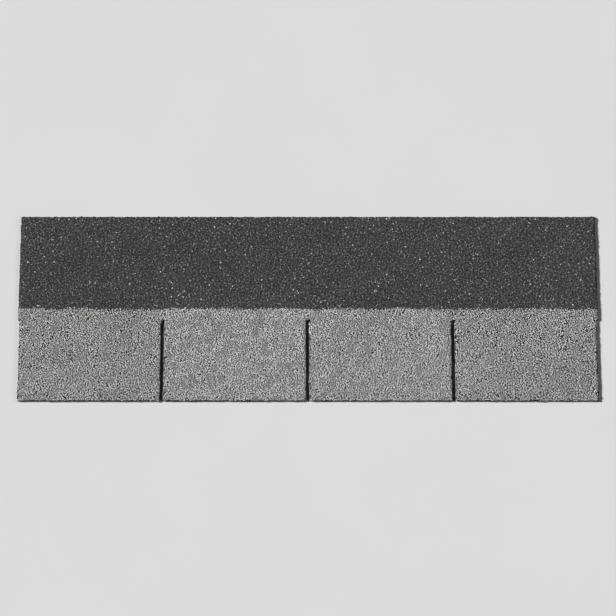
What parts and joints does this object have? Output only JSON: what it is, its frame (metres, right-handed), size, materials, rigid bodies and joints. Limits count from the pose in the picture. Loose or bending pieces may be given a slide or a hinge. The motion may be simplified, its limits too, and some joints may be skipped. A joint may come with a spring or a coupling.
{
  "type": "four-tab asphalt strip shingle",
  "caption": "Flat granule-surfaced bitumen roofing strip whose lower edge is slotted into square tabs, with a darker headlap that the next course covers.",
  "frame": {"origin": "middle of the underside, so the sheet lies on Z = 0", "axes": "+X along the strip and the course, +Y up the roof slope from the butt edge to the top edge, +Z out of the weather face"},
  "size_m": [1, 0.336, 0.003],
  "materials": {
    "granule_surfaced_bitumen": "matte mixed grey mineral granules on black bitumen, darker granules on the headlap"
  },
  "bodies": {
    "root": {"shingle_strip": "granule_surfaced_bitumen"}
  },
  "joints": []
}
